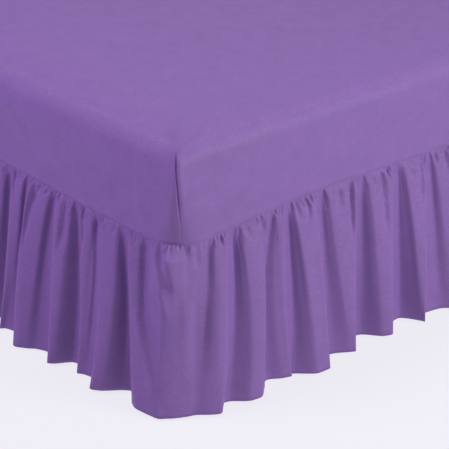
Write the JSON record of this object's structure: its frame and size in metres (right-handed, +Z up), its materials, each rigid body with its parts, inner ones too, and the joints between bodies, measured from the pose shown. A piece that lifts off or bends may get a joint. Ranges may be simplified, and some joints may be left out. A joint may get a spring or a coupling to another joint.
{
  "type": "ruffled bedspread on a bed",
  "caption": "Plain fitted bedspread: flat top and straight walls in one cloth, darted corners and a deep gathered ruffle falling to the floor, shown on the bed that holds it.",
  "frame": {"origin": "centre of the bed on the floor, under the middle of the box round everything", "axes": "+Z up, +Y along the bed towards the head, +X across it; the foot end and the corner in the picture are at -Y and +X"},
  "size_m": [1.5356, 2.1238, 0.64],
  "materials": {
    "cover_cloth": "plain weave cotton blend, matt with a soft sheen at grazing angles",
    "ruffle_cloth": "plain weave cotton blend, matt with a soft sheen at grazing angles",
    "mattress_ticking": "matt ticking",
    "base_cloth": "matt upholstery cloth",
    "foot_plastic": "matt moulded plastic"
  },
  "bodies": {
    "root": {"fitted_cover": "cover_cloth", "ruffle_foot_right": "ruffle_cloth", "ruffle_foot_left": "ruffle_cloth", "ruffle_head_right": "ruffle_cloth", "ruffle_head_left": "ruffle_cloth", "mattress": "mattress_ticking", "bed_base": "base_cloth", "bed_foot_1": "foot_plastic", "bed_foot_2": "foot_plastic", "bed_foot_3": "foot_plastic", "bed_foot_4": "foot_plastic"}
  },
  "joints": []
}
